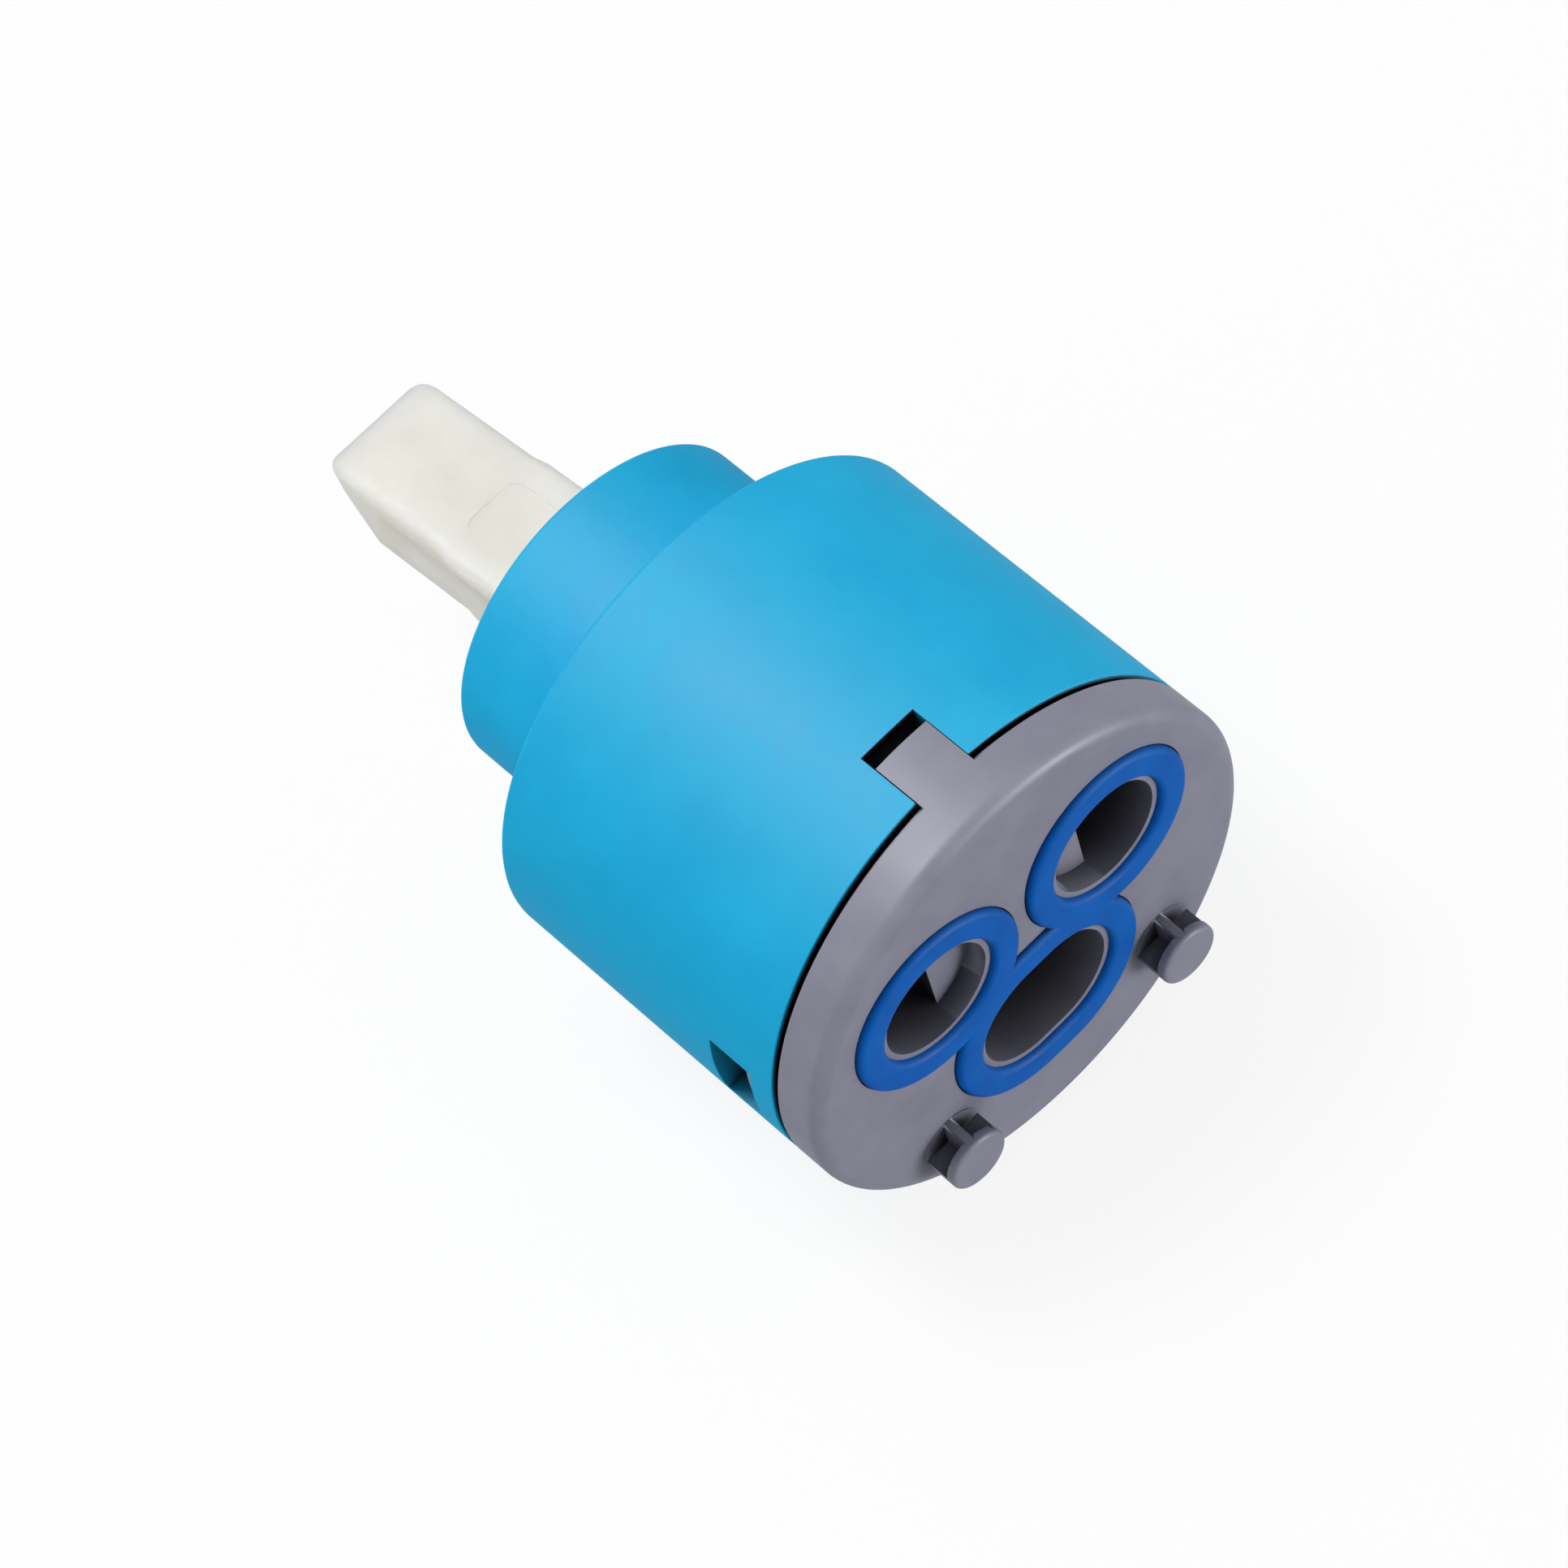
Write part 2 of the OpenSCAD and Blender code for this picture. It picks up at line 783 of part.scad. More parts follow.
// Shallow panel sunk into the front of the foot, with rounded upper corners
module front_panel() {
    half = panel_w / 2;
    translate([0, panel_depth - eye_r, 0])
        rotate([90, 0, 0])
            linear_extrude(panel_depth + over)
                union() {
                    translate([-half, panel_low])
                        square([panel_w, foot_h - panel_low - panel_corner]);
                    translate([panel_corner - half, panel_low])
                        square([panel_w - 2 * panel_corner, foot_h - panel_low]);
                    for (side = [-1, 1])
                        translate([side * (half - panel_corner), foot_h - panel_corner])
                            circle(panel_corner);
                }
}

// Shallow groove down one side of the lever
module side_groove(side) {
    depth = foot_step + panel_depth;
    translate([side * (foot_w / 2 - depth + over) - over, -groove_w / 2, groove_low])
        cube([2 * over, groove_w, lever_reach - groove_low - groove_end]);
}

housing();
base_plate();
port_seal();
hot_inlet_seal();
cold_inlet_seal();
outlet_seal();
fixed_disc();
moving_disc();
chamber_seal();
noise_screen();
disc_carrier();
swivel_bush();
slip_ring();
neck_oring();
lever();
lever_pin();
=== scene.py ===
import math

import bmesh
import bpy
from mathutils import Matrix, Quaternion, Vector


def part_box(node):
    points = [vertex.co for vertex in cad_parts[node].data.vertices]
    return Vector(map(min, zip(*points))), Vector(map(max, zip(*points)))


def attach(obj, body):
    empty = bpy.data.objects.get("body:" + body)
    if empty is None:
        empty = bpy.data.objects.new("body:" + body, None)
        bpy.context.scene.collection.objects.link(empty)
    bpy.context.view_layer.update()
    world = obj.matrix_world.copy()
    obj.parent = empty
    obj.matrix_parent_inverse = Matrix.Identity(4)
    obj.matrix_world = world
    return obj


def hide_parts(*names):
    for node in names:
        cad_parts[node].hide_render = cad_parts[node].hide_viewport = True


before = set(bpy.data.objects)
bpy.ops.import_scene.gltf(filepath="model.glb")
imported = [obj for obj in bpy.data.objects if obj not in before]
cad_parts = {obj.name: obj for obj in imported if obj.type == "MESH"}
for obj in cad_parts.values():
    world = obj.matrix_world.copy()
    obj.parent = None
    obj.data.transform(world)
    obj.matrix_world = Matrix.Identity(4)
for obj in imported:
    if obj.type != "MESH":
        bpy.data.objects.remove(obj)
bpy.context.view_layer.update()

# Housing: the blue sleeve round the whole stack, with its skirt, shoulder and collar in one piece.
# It is injection moulded in acetal from a finely spark-eroded mould, so it is satin and a little waxy.
# Two windows in the skirt snap over barbs of the base, and a notch takes the base's tab.
# All sizes in this file are in millimetres, and a piece is scaled to metres when it is finished.
mm = 0.001
low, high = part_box("housing")
body_r = high[0] / mm
skirt_z = low[2] / mm
collar_z = high[2] / mm
skirt_wall = 2.0
bore_r = body_r - skirt_wall
shoulder_z = 27.5
roof_z = 25.5
collar_r = 11.7
neck_r = 9.7
shoulder_round = 0.4
skirt_round = 0.1
opening_round = 0.1
lead_w, lip_w = 1.3, 0.3
notch_w = 4.2
notch_top = 7.95
notch_rise = 1.4
window_low = 5.8
window_high = 9.2
window_w = 6.38
stop_r = 14.5
stop_z = 20.1
stop_sweep = 30
stop_sink = 0.1
over = 1.0
turn_steps = 192


def spun(outline, steps=turn_steps, sweep=360):
    """A closed outline of radius and height points, turned round the Z axis."""
    form = bmesh.new()
    points = [form.verts.new((radius, 0, height)) for radius, height in outline]
    if sweep < 360:
        form.faces.new(points)
    else:
        for pair in zip(points, points[1:] + points[:1]):
            form.edges.new(pair)
    bmesh.ops.spin(form, geom=form.verts[:] + form.edges[:] + form.faces[:], cent=(0, 0, 0), axis=(0, 0, 1),
                   angle=math.radians(sweep), steps=steps, use_merge=sweep == 360)
    bmesh.ops.remove_doubles(form, verts=form.verts, dist=0.0001)
    bmesh.ops.recalc_face_normals(form, faces=form.faces)
    return form


def block(lowest, highest):
    """A plain block between two corners."""
    form = bmesh.new()
    size = Vector(highest) - Vector(lowest)
    middle = (Vector(highest) + Vector(lowest)) / 2
    bmesh.ops.create_cube(form, size=1, matrix=Matrix.Translation(middle) @ Matrix.Diagonal((*size, 1)))
    return form


def carved(form, tool, operation="DIFFERENCE"):
    """A closed form with a second one taken out of it or joined to it."""
    holders = []
    for shape in (form, tool):
        mesh = bpy.data.meshes.new("carving")
        shape.to_mesh(mesh)
        shape.free()
        holder = bpy.data.objects.new("carving", mesh)
        bpy.context.scene.collection.objects.link(holder)
        holders.append(holder)
    carving = holders[0].modifiers.new("carving", "BOOLEAN")
    carving.operation = operation
    carving.solver = "EXACT"
    carving.object = holders[1]
    result = bmesh.new()
    result.from_object(holders[0], bpy.context.evaluated_depsgraph_get())
    for holder in holders:
        mesh = holder.data
        bpy.data.objects.remove(holder)
        bpy.data.meshes.remove(mesh)
    return result


def rounded(form, radius, wanted, steps=3, least_angle=35):
    """Rounds the outward edges that are sharp and wanted."""
    edges = [edge for edge in form.edges
             if edge.is_manifold and edge.is_convex
             and edge.calc_face_angle() > math.radians(least_angle) and wanted(edge)]
    bmesh.ops.bevel(form, geom=edges, offset=radius, offset_type="OFFSET", affect="EDGES", segments=steps,
                    profile=0.5, material=-1, clamp_overlap=True)
    return form


def reach(point):
    """Distance of a point from the Z axis."""
    return math.hypot(point.co.x, point.co.y)


def on_ring(radius, height):
    """A test for the edges of one circle round the Z axis."""
    def test(edge):
        return all(abs(reach(end) - radius) < 0.01 and abs(end.co.z - height) < 0.01 for end in edge.verts)
    return test


def linear(code):
    """A colour written as sRGB hex, as the linear values that a shader takes."""
    values = [int(code[place:place + 2], 16) / 255 for place in (1, 3, 5)]
    return [value / 12.92 if value <= 0.04045 else ((value + 0.055) / 1.055) ** 2.4 for value in values] + [1]


def add(owner, kind, settings=None, **sockets):
    """Adds a node: settings are its own properties, sockets take a value or another node's output.

    A socket is given by its name, or by an underscore and its number where names repeat.
    """
    made = owner.node_tree.nodes.new("ShaderNode" + kind)
    for name, value in (settings or {}).items():
        setattr(made, name, value)
    for name, value in sockets.items():
        socket = made.inputs[int(name[1:]) if name[0] == "_" else name.replace("_", " ")]
        if isinstance(value, bpy.types.NodeSocket):
            owner.node_tree.links.new(value, socket)
        else:
            socket.default_value = value
    return made


def moulded(name, dark, middle, light, rough, cloud=6.0, grain=0.35, painted_shade_reach=0.0, **finish):
    """A moulded material: its colour drifts a little with the flow of the melt, and its skin is grained.

    The real grain is under 0.1 mm and too fine to show, so it is drawn as coarse as the grain given here.
    Where a reach for painted shade is given, the colour is darkened with painted shade in the recesses that
    are closed in within that distance.
    """
    drift_low, drift_high = 0.3, 0.7
    rough_drift = 0.04
    grain_height = 0.004
    closed_in, open_air = 0.2, 0.7
    # The dark grey that stands in for the shade in recesses: painted shade.
    painted_shade_colour = "#1a1a22"
    material = bpy.data.materials.new(name)
    material.use_nodes = True
    material.node_tree.nodes.clear()
    place = add(material, "TexCoord").outputs["Object"]
    drift = add(material, "TexNoise", Vector=place, Scale=1 / (cloud * mm), Detail=3, Roughness=0.55)
    shades = add(material, "ValToRGB", Fac=drift.outputs["Fac"])
    ramp = shades.color_ramp
    ramp.elements.new(0.5)
    for element, spot, code in zip(ramp.elements, (drift_low, 0.5, drift_high), (dark, middle, light)):
        element.position = spot
        element.color = linear(code)
    skin = add(material, "TexNoise", Vector=place, Scale=1 / (grain * mm), Detail=2, Roughness=0.6)
    polish = add(material, "MapRange", Value=drift.outputs["Fac"], From_Min=drift_low, From_Max=drift_high,
                 To_Min=rough - rough_drift, To_Max=rough + rough_drift)
    bump = add(material, "Bump", Height=skin.outputs["Fac"], Strength=0.6, Distance=grain_height * mm)
    colour = shades.outputs["Color"]
    # Painted shade: the colour is pulled towards dark grey where ambient occlusion finds the surface closed
    # in, standing in for the shade of recesses.
    if painted_shade_reach:
        shelter = add(material, "AmbientOcclusion", {"samples": 8}, Distance=painted_shade_reach * mm)
        bare = add(material, "MapRange", Value=shelter.outputs["AO"], From_Min=closed_in, From_Max=open_air)
        colour = add(material, "Mix", {"data_type": "RGBA"}, _0=bare.outputs["Result"], _6=linear(painted_shade_colour),
                     _7=colour).outputs[2]
    surface = add(material, "BsdfPrincipled", Base_Color=colour,
                  Roughness=polish.outputs["Result"], Normal=bump.outputs["Normal"], **finish)
    add(material, "OutputMaterial", Surface=surface.outputs["BSDF"])
    return material


def finished(name, form, material, body, node):
    """Makes a form the piece that stands for a node: scaled to metres, shaded smooth up to its edges."""
    smooth_angle = 32
    least_edge = 0.0005
    bmesh.ops.dissolve_degenerate(form, dist=least_edge, edges=form.edges)
    bmesh.ops.delete(form, geom=[point for point in form.verts if not point.link_faces], context="VERTS")
    form.transform(Matrix.Scale(mm, 4))
    mesh = bpy.data.meshes.new(name)
    form.to_mesh(mesh)
    form.free()
    mesh.polygons.foreach_set("use_smooth", [True] * len(mesh.polygons))
    mesh.set_sharp_from_angle(angle=math.radians(smooth_angle))
    mesh.materials.append(material)
    piece = bpy.data.objects.new(name, mesh)
    bpy.context.scene.collection.objects.link(piece)
    shading = piece.modifiers.new("shading", "WEIGHTED_NORMAL")
    shading.keep_sharp = True
    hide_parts(node)
    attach(piece, body)


sleeve = spun([(bore_r, skirt_z + lead_w), (body_r - lip_w, skirt_z), (body_r, skirt_z),
               (body_r, shoulder_z), (collar_r, shoulder_z), (collar_r, collar_z),
               (neck_r, collar_z), (neck_r, roof_z), (bore_r, roof_z)])
for ring_r, ring_z, edge_round in ((body_r, shoulder_z, shoulder_round), (collar_r, collar_z, shoulder_round),
                                   (body_r, skirt_z, skirt_round), (neck_r, collar_z, skirt_round)):
    rounded(sleeve, edge_round, on_ring(ring_r, ring_z), steps=4)
notch = block((-notch_w / 2, -body_r - over, skirt_z - over), (notch_w / 2, over - bore_r, notch_top))
for point in notch.verts:
    if point.co.y > -bore_r and point.co.z > skirt_z:
        point.co.z += notch_rise
sleeve = carved(sleeve, notch)
for side in (-1, 1):
    inner, outer = sorted((side * (bore_r - over), side * (body_r + over)))
    sleeve = carved(sleeve, block((inner, -window_w / 2, window_low), (outer, window_w / 2, window_high)))
rounded(sleeve, opening_round,
        lambda edge: all(reach(end) > bore_r - 0.5 and end.co.z < window_high + 0.1 for end in edge.verts)
        and any(abs(end.co.x) < notch_w or abs(end.co.y) < window_w for end in edge.verts), steps=2)
stop = spun([(stop_r, stop_z), (bore_r + stop_sink, stop_z), (bore_r + stop_sink, roof_z + stop_sink),
             (stop_r, roof_z + stop_sink)], steps=16, sweep=stop_sweep)
stop.transform(Matrix.Rotation(math.radians(-90 - stop_sweep / 2), 4, "Z"))
sleeve = carved(sleeve, stop, "UNION")
# The housing's colour carries painted shade in its gaps, notch and windows, within 4 mm.
blue_acetal = moulded("moulded_blue_acetal", "#06a4d6", "#0aa9da", "#0eaede", rough=0.64, painted_shade_reach=4.0,
                      IOR=1.48, Specular_IOR_Level=0.07)
finished("blue_housing", sleeve, blue_acetal, "cartridge_body", "housing")

# Base: the grey moulding that closes the skirt, with its edge band, locking tab, snap barbs and pins.
# It is injection moulded in a filled plastic, a little cooler and smoother than the housing.
# Its seal grooves and ledged ports are the mould's own, and each pin is cored out beside a middle rib.
base_edge = 0.08
pin_x, pin_y = 9.0556, 10.1967
pin_r = 2.15
pin_rib = 0.7
pin_core = 0.1
pin_plate_z = -1.8
pin_root_z = -0.1


def solid_of(node):
    """A copy of a node's solid in millimetres, merged to whole faces."""
    form = bmesh.new()
    form.from_mesh(bpy.data.objects[node].data)
    form.transform(Matrix.Scale(1 / mm, 4))
    bmesh.ops.remove_doubles(form, verts=form.verts, dist=0.001)
    bmesh.ops.dissolve_limit(form, angle_limit=math.radians(0.5), verts=form.verts, edges=form.edges)
    return form


base = rounded(solid_of("base_plate"), base_edge, lambda edge: True, steps=2, least_angle=40)
for side in (-1, 1):
    for half in (-1, 1):
        near, far = sorted((side * pin_x + half * pin_rib / 2, side * pin_x + half * (pin_r + over)))
        pocket = block((near, pin_y - pin_r - over, pin_plate_z), (far, pin_y - pin_core, pin_root_z))
        base = carved(base, pocket)
# The base's colour carries painted shade in its ports, pin pockets and grooves, within 12 mm.
grey_plastic = moulded("moulded_grey_plastic", "#818191", "#868696", "#8b8b9b", rough=0.5, cloud=4.0,
                       painted_shade_reach=12.0, IOR=1.52, Specular_IOR_Level=0.06)
finished("grey_base", base, grey_plastic, "cartridge_body", "base_plate")

# Port seal: the dark blue ring seal that the base is pressed against the tap with.
# It is one moulding in silicone, three flat rings run together, standing proud with rounded edges.
# Silicone is dull and takes a deep, even colour.
inlet_x, inlet_y = 7.0, -5.1
outlet_y = 5.0
outlet_stretch = 0.9
inlet_hole = 4.6
outlet_hole = 4.7
ring_w = 1.95
ring_play, ring_lap = 0.08, 0.2
ring_top = 1.2
ring_proud = 0.5
ring_round = 0.42
ring_steps = 5


def seal_ring(hole_r, middle, stretch=0.0):
    """One ring of the seal, flat with rounded edges, and drawn out sideways where it is stretched."""
    inner, outer = hole_r - ring_lap, hole_r + ring_w - ring_play
    quarter = [math.pi / 2 * step / ring_steps for step in range(ring_steps + 1)]
    rim = ring_round - ring_proud
    form = spun([(outer, ring_top)]
                + [(outer - ring_round + ring_round * math.cos(turn), rim - ring_round * math.sin(turn))
                   for turn in quarter]
                + [(inner + ring_round - ring_round * math.sin(turn), rim - ring_round * math.cos(turn))
                   for turn in quarter]
                + [(inner, ring_top)], steps=128)
    for point in form.verts:
        if abs(point.co.x) > 0.001:
            point.co.x += math.copysign(stretch, point.co.x)
    form.transform(Matrix.Translation((*middle, 0)))
    return form


seal = seal_ring(outlet_hole, (0, outlet_y), outlet_stretch)
for side in (-1, 1):
    seal = carved(seal, seal_ring(inlet_hole, (side * inlet_x, inlet_y)), "UNION")
# The seal's colour carries painted shade along its edges and where its rings meet, within 1.5 mm.
blue_silicone = moulded("moulded_blue_silicone", "#0456ae", "#055cb6", "#0762bd", rough=0.6, cloud=3.0,
                        painted_shade_reach=1.5, IOR=1.43, Specular_IOR_Level=0.04)
finished("port_seal_rings", seal, blue_silicone, "cartridge_body", "port_seal")

# Lever: the cream arm that the tap's handle slides over, leaning to its open end.
# It is injection moulded in glass-filled nylon that lets a little light through, with soft edges all round.
# Its front has a shallow panel and each side a long scooped groove; below, a neck and ball drive the discs.
pivot_z = 32.3
lean = 9.6
lever_w, lever_d = 8.7, 7.6
lever_reach = 26.4
tip_drop, tip_taper = 1.9, 0.05
tip_right_r, tip_left_r, tip_back_r = 1.5, 0.7, 1.7
foot_h, foot_step = 14.8, 0.2
ramp_low, ramp_high = 0.4, 0.7
blade_round, tip_round = 0.9, 0.35
tip_low = 22.5
panel_w, panel_low, panel_high, panel_corner = 4.5, 2.0, 15.0, 1.0
panel_depth = 0.1
groove_r, groove_depth, groove_low, groove_high = 5.0, 0.3, 3.0, 21.5
pivot_r = 1.55
arm, stem_r, stem_sink, ball_r = 10.05, 1.9, 1.8, 2.6
eye_steps = 32
least_gap = 0.05


def soft_outline(corners, steps=8):
    """A closed outline of flat points, each corner turned by the radius given after its two places."""
    points = []
    spots = [Vector(corner[:2]) for corner in corners]
    for number, corner in enumerate(corners):
        spot, radius = spots[number], corner[2]
        if not radius:
            points.append(tuple(spot))
            continue
        back = (spots[number - 1] - spot).normalized()
        ahead = (spots[(number + 1) % len(spots)] - spot).normalized()
        half = back.angle(ahead) / 2
        centre = spot + (back + ahead).normalized() * radius / math.sin(half)
        first = spot + back * radius / math.tan(half) - centre
        last = spot + ahead * radius / math.tan(half) - centre
        turn = math.atan2(first.x * last.y - first.y * last.x, first.dot(last))
        for step in range(steps + 1):
            way = turn * step / steps
            points.append((centre.x + first.x * math.cos(way) - first.y * math.sin(way),
                           centre.y + first.x * math.sin(way) + first.y * math.cos(way)))
    return points


def prism(outline, start, end, across):
    """An outline pushed along an axis: its points lie in the XZ plane along Y, or in the YZ plane along X."""
    form = bmesh.new()
    place = (lambda u, v: (u, start, v)) if across == "Y" else (lambda u, v: (start, u, v))
    face = form.faces.new([form.verts.new(place(u, v)) for u, v in outline])
    pushed = bmesh.ops.extrude_face_region(form, geom=[face])["geom"]
    shift = Vector((0, end - start, 0)) if across == "Y" else Vector((end - start, 0, 0))
    moved = [item for item in pushed if isinstance(item, bmesh.types.BMVert)]
    bmesh.ops.translate(form, verts=moved, vec=shift)
    bmesh.ops.recalc_face_normals(form, faces=form.faces)
    return form


half_w, half_d = lever_w / 2, lever_d / 2
foot = half_w + foot_step
tip = half_w - tip_taper
blade = bmesh.new()
section = soft_outline([(-foot, -half_d, blade_round), (foot, -half_d, blade_round),
                        (foot, half_d, blade_round), (-foot, half_d, blade_round)])
end_face = blade.faces.new([blade.verts.new((x, y, -lever_d)) for x, y in section])
for narrower, height in ((0, foot_h - ramp_low), (foot_step, foot_h + ramp_high),
                         (tip_taper, lever_reach + over)):
    pushed = bmesh.ops.extrude_face_region(blade, geom=[end_face])["geom"]
    bmesh.ops.delete(blade, geom=[end_face], context="FACES_ONLY")
    end_face = next(item for item in pushed if isinstance(item, bmesh.types.BMFace))
    for point in end_face.verts:
        point.co.x -= math.copysign(narrower, point.co.x)
        point.co.z = height
bmesh.ops.holes_fill(blade, edges=blade.edges)
bmesh.ops.recalc_face_normals(blade, faces=blade.faces)
eye = [(-half_d * math.cos(math.pi * step / eye_steps), -half_d * math.sin(math.pi * step / eye_steps), 0)
       for step in range(eye_steps + 1)]
side_view = soft_outline([(half_d, lever_reach - tip_drop, tip_back_r), (-half_d, lever_reach, 0)] + eye)
blade = carved(blade, prism(side_view, -lever_w, lever_w, "X"), "INTERSECT")
front_view = soft_outline([(-lever_w, -lever_d, 0), (lever_w, -lever_d, 0), (lever_w, foot_h, 0),
                           (tip, tip_low, 0), (tip, lever_reach, tip_right_r),
                           (-tip, lever_reach, tip_left_r), (-tip, tip_low, 0), (-lever_w, foot_h, 0)])
blade = carved(blade, prism(front_view, -lever_d, lever_d, "Y"), "INTERSECT")
bmesh.ops.remove_doubles(blade, verts=blade.verts, dist=least_gap)
bmesh.ops.dissolve_limit(blade, angle_limit=math.radians(0.5), verts=blade.verts, edges=blade.edges)
rounded(blade, tip_round, lambda edge: all(end.co.z > tip_low for end in edge.verts))
panel = soft_outline([(-panel_w / 2, panel_low, 0), (panel_w / 2, panel_low, 0),
                      (panel_w / 2, panel_high, panel_corner), (-panel_w / 2, panel_high, panel_corner)])
blade = carved(blade, prism(panel, -lever_d, panel_depth - half_d, "Y"))
for side in (-1, 1):
    scoop = bmesh.new()
    bmesh.ops.create_uvsphere(scoop, u_segments=96, v_segments=48, radius=groove_r)
    for point in scoop.verts:
        point.co.z += groove_high if point.co.z > 0.001 else groove_low
    scoop.transform(Matrix.Translation((side * (half_w - groove_depth + groove_r), 0, 0)))
    blade = carved(blade, scoop)
hole = spun([(0, -lever_w), (pivot_r, -lever_w), (pivot_r, lever_w), (0, lever_w)], steps=48)
hole.transform(Matrix.Rotation(math.radians(90), 4, "Y"))
blade = carved(blade, hole)
stem_z = stem_sink - half_d
stem = spun([(0, -arm), (stem_r, -arm), (stem_r, stem_z), (0, stem_z)], steps=48)
blade = carved(blade, stem, "UNION")
ball = bmesh.new()
bmesh.ops.create_uvsphere(ball, u_segments=64, v_segments=32, radius=ball_r,
                          matrix=Matrix.Translation((0, 0, -arm)))
blade = carved(blade, ball, "UNION")
blade.transform(Matrix.Translation((0, 0, pivot_z)) @ Matrix.Rotation(math.radians(-lean), 4, "X"))
cream_nylon = moulded("moulded_cream_nylon", "#dad8d0", "#e0ded7", "#e4e3dd", rough=0.6, cloud=5.0, IOR=1.53,
                      Specular_IOR_Level=0.05, Subsurface_Weight=1.0, Subsurface_Radius=(1.0, 0.85, 0.6),
                      Subsurface_Scale=6.0 * mm)
finished("cream_lever", blade, cream_nylon, "lever_arm", "lever")

# Swivel bush, carrier, slip ring and noise screen: the turning pieces inside the housing.
# They are injection moulded in natural acetal, which is a cool, slightly waxy white.
white_acetal = moulded("moulded_white_acetal", "#d2d2cd", "#d8d8d4", "#dededa", rough=0.4, IOR=1.48)
for node in ("swivel_bush", "disc_carrier", "slip_ring", "noise_screen"):
    bpy.data.objects[node].data.materials[0] = white_acetal

# Discs: two alumina plates, fired white, that shut and mix the water by sliding on each other.
# They are lapped so flat that they seal, which leaves a dull white polish.
alumina = moulded("lapped_alumina", "#ebe7de", "#efece4", "#f2efe8", rough=0.22, cloud=1.5, grain=0.25,
                  IOR=1.76)
for node in ("fixed_disc", "moving_disc"):
    bpy.data.objects[node].data.materials[0] = alumina

# Inner seals and the damping ring: moulded rings that sit in grooves of their neighbours.
# Those under the fixed disc are the port seal's blue silicone, and those above are dull black nitrile.
black_nitrile = moulded("moulded_black_nitrile", "#222226", "#26262a", "#2c2c30", rough=0.5, cloud=2.0,
                        IOR=1.52)
for node in ("hot_inlet_seal", "cold_inlet_seal", "outlet_seal"):
    bpy.data.objects[node].data.materials[0] = blue_silicone
for node in ("chamber_seal", "neck_oring"):
    bpy.data.objects[node].data.materials[0] = black_nitrile

# Lever pin: a steel dowel, pressed across the bush, that the lever tilts on.
# It is ground, so it is bright with a fine, slightly uneven polish.
ground_steel = moulded("ground_steel", "#a3a6aa", "#a9acb0", "#b0b3b7", rough=0.28, cloud=0.8, Metallic=1.0)
bpy.data.objects["lever_pin"].data.materials[0] = ground_steel

# Floor: a pale sheet that the cartridge lies on along its side, seen through from underneath.
# It casts no shadow, because its nearness would count as a recess and darken the housing with painted shade.
floor_half = 600.0
floor_gap = 0.1
floor_glow, floor_bounce = 0.85, 0.35
sheet = bmesh.new()
bmesh.ops.create_grid(sheet, x_segments=1, y_segments=1, size=floor_half)
sheet.transform(Matrix.Scale(mm, 4) @ Matrix.Translation((0, body_r + floor_gap, 0))
                @ Matrix.Rotation(math.radians(90), 4, "X"))
floor_mesh = bpy.data.meshes.new("floor")
sheet.to_mesh(floor_mesh)
sheet.free()
floor = bpy.data.objects.new("floor", floor_mesh)
bpy.context.scene.collection.objects.link(floor)
floor.visible_shadow = False
paper = bpy.data.materials.new("white_paper")
paper.use_nodes = True
paper.node_tree.nodes.clear()


def seen(owner):
    """One where the camera sees a surface, also in a polish or through a clear piece, and else nought."""
    rays = add(owner, "LightPath").outputs
    shown = add(owner, "Math", {"operation": "MAXIMUM"}, _0=rays["Is Camera Ray"], _1=rays["Is Glossy Ray"])
    return add(owner, "Math", {"operation": "MAXIMUM"}, _0=shown.outputs[0],
               _1=rays["Is Transmission Ray"]).outputs[0]


lit = add(paper, "BsdfDiffuse", Color=linear("#fafafa"))
shine = add(paper, "MapRange", Value=seen(paper), To_Min=floor_bounce, To_Max=1.0)
glow = add(paper, "Emission", Color=linear("#ffffff"), Strength=shine.outputs["Result"])
both = add(paper, "MixShader", Fac=floor_glow, _1=lit.outputs["BSDF"], _2=glow.outputs["Emission"])
behind = add(paper, "NewGeometry")
clear = add(paper, "BsdfTransparent")
one_sided = add(paper, "MixShader", Fac=behind.outputs["Backfacing"], _1=both.outputs["Shader"],
                _2=clear.outputs["BSDF"])
add(paper, "OutputMaterial", Surface=one_sided.outputs["Shader"])
floor_mesh.materials.append(paper)

# Camera: it looks up at the base from the tab's side, as the photograph does, turned so that the lever
# points to the upper left.
look_azimuth, look_elevation, look_roll = -104.94, -27.05, -50.45
look_at = Vector((-0.59, 3.53, 21.62))
look_distance = 396.5
lens_mm = 149.8
sensor_mm = 36


def direction(azimuth, elevation):
    """Unit vector from the object, in degrees round from +X and above the XY plane."""
    around, above = math.radians(azimuth), math.radians(elevation)
    return Vector((math.cos(above) * math.cos(around), math.cos(above) * math.sin(around), math.sin(above)))


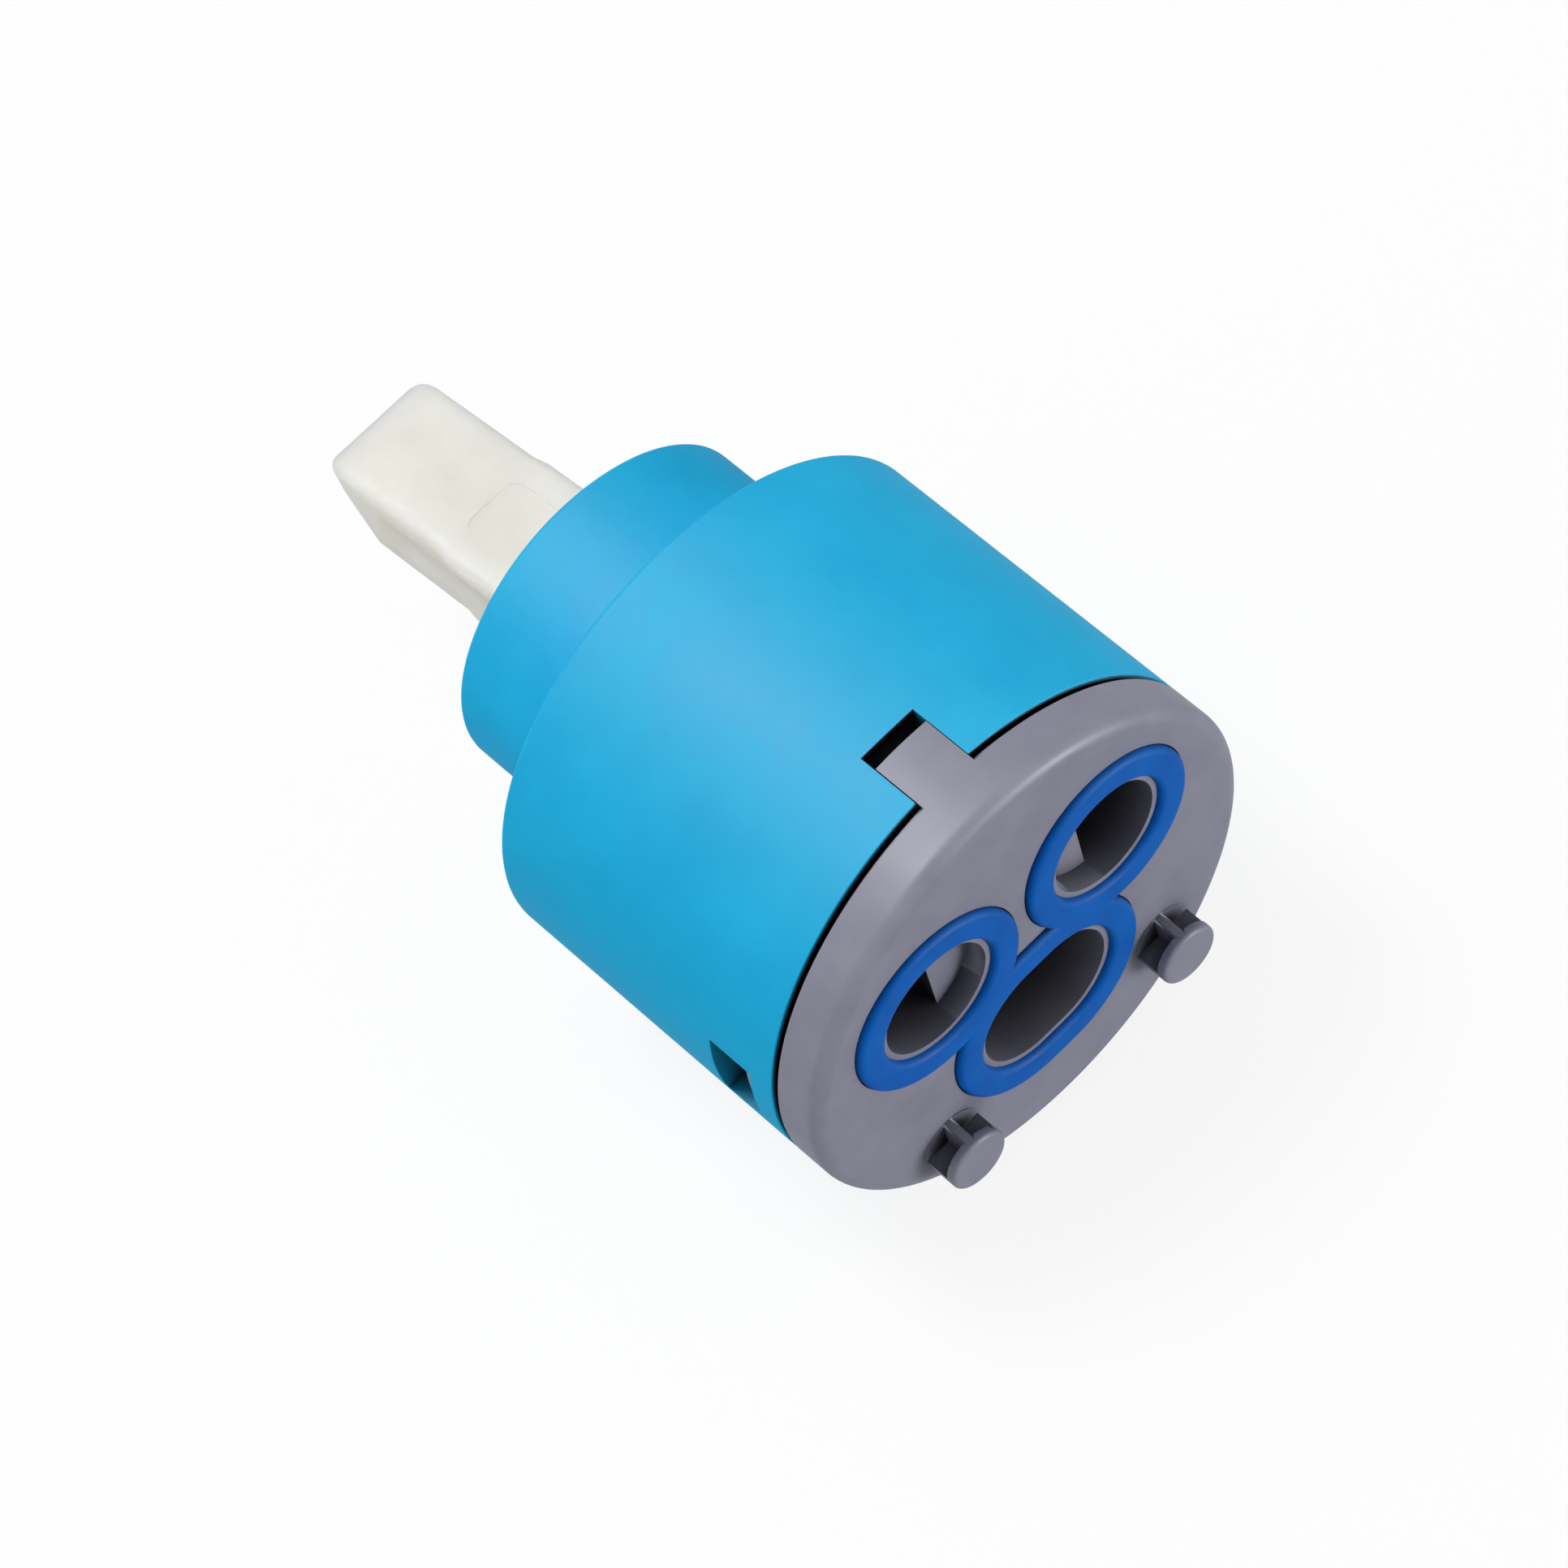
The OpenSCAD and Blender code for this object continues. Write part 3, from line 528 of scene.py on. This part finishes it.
towards = direction(look_azimuth, look_elevation)
camera_data = bpy.data.cameras.new("camera")
camera_data.lens = lens_mm
camera_data.sensor_width = sensor_mm
camera_data.clip_start = 0.01
camera = bpy.data.objects.new("camera", camera_data)
camera.location = (look_at + towards * look_distance) * mm
camera.rotation_mode = "QUATERNION"
camera.rotation_quaternion = towards.to_track_quat("Z", "Y") @ Quaternion((0, 0, 1), math.radians(look_roll))
bpy.context.scene.collection.objects.link(camera)
bpy.context.scene.camera = camera

# Light: a soft lamp above the camera, one that faces the base, and a weak wide one from the left.
# Two more lamps only show in polish, because the white room would else drown the lamps' own sheen.
lamp_distance = 600.0
for name, azimuth, elevation, size, power, only_sheen in (("key_lamp", -99, 20, 220, 1.5, False),
                                                          ("base_lamp", -15, -70, 220, 1.6, False),
                                                          ("fill_lamp", -170, 10, 500, 0.55, False),
                                                          ("key_sheen", -99, 20, 220, 30.0, True),
                                                          ("base_sheen", -15, -55, 140, 25.0, True)):
    lamp_data = bpy.data.lights.new(name, "AREA")
    lamp_data.shape = "DISK"
    lamp_data.size = size * mm
    lamp_data.energy = power
    lamp = bpy.data.objects.new(name, lamp_data)
    aim = direction(azimuth, elevation)
    lamp.location = (look_at + aim * lamp_distance) * mm
    lamp.rotation_mode = "QUATERNION"
    lamp.rotation_quaternion = aim.to_track_quat("Z", "Y")
    lamp.visible_diffuse = not only_sheen
    bpy.context.scene.collection.objects.link(lamp)
room = bpy.data.worlds.new("room")
room.use_nodes = True
room.node_tree.nodes.clear()
bpy.context.scene.world = room
room_low, room_high = 0.36, 0.74
upward = add(room, "SeparateXYZ", Vector=add(room, "TexCoord").outputs["Generated"])
shed = add(room, "MapRange", Value=upward.outputs["Z"], From_Min=-1.0, To_Min=room_low, To_Max=room_high)
level = add(room, "MapRange", Value=seen(room), To_Min=shed.outputs["Result"], To_Max=1.0)
backdrop = add(room, "Background", Color=linear("#ffffff"), Strength=level.outputs["Result"])
add(room, "OutputWorld", Surface=backdrop.outputs["Background"])
bpy.context.scene.view_settings.view_transform = "Standard"
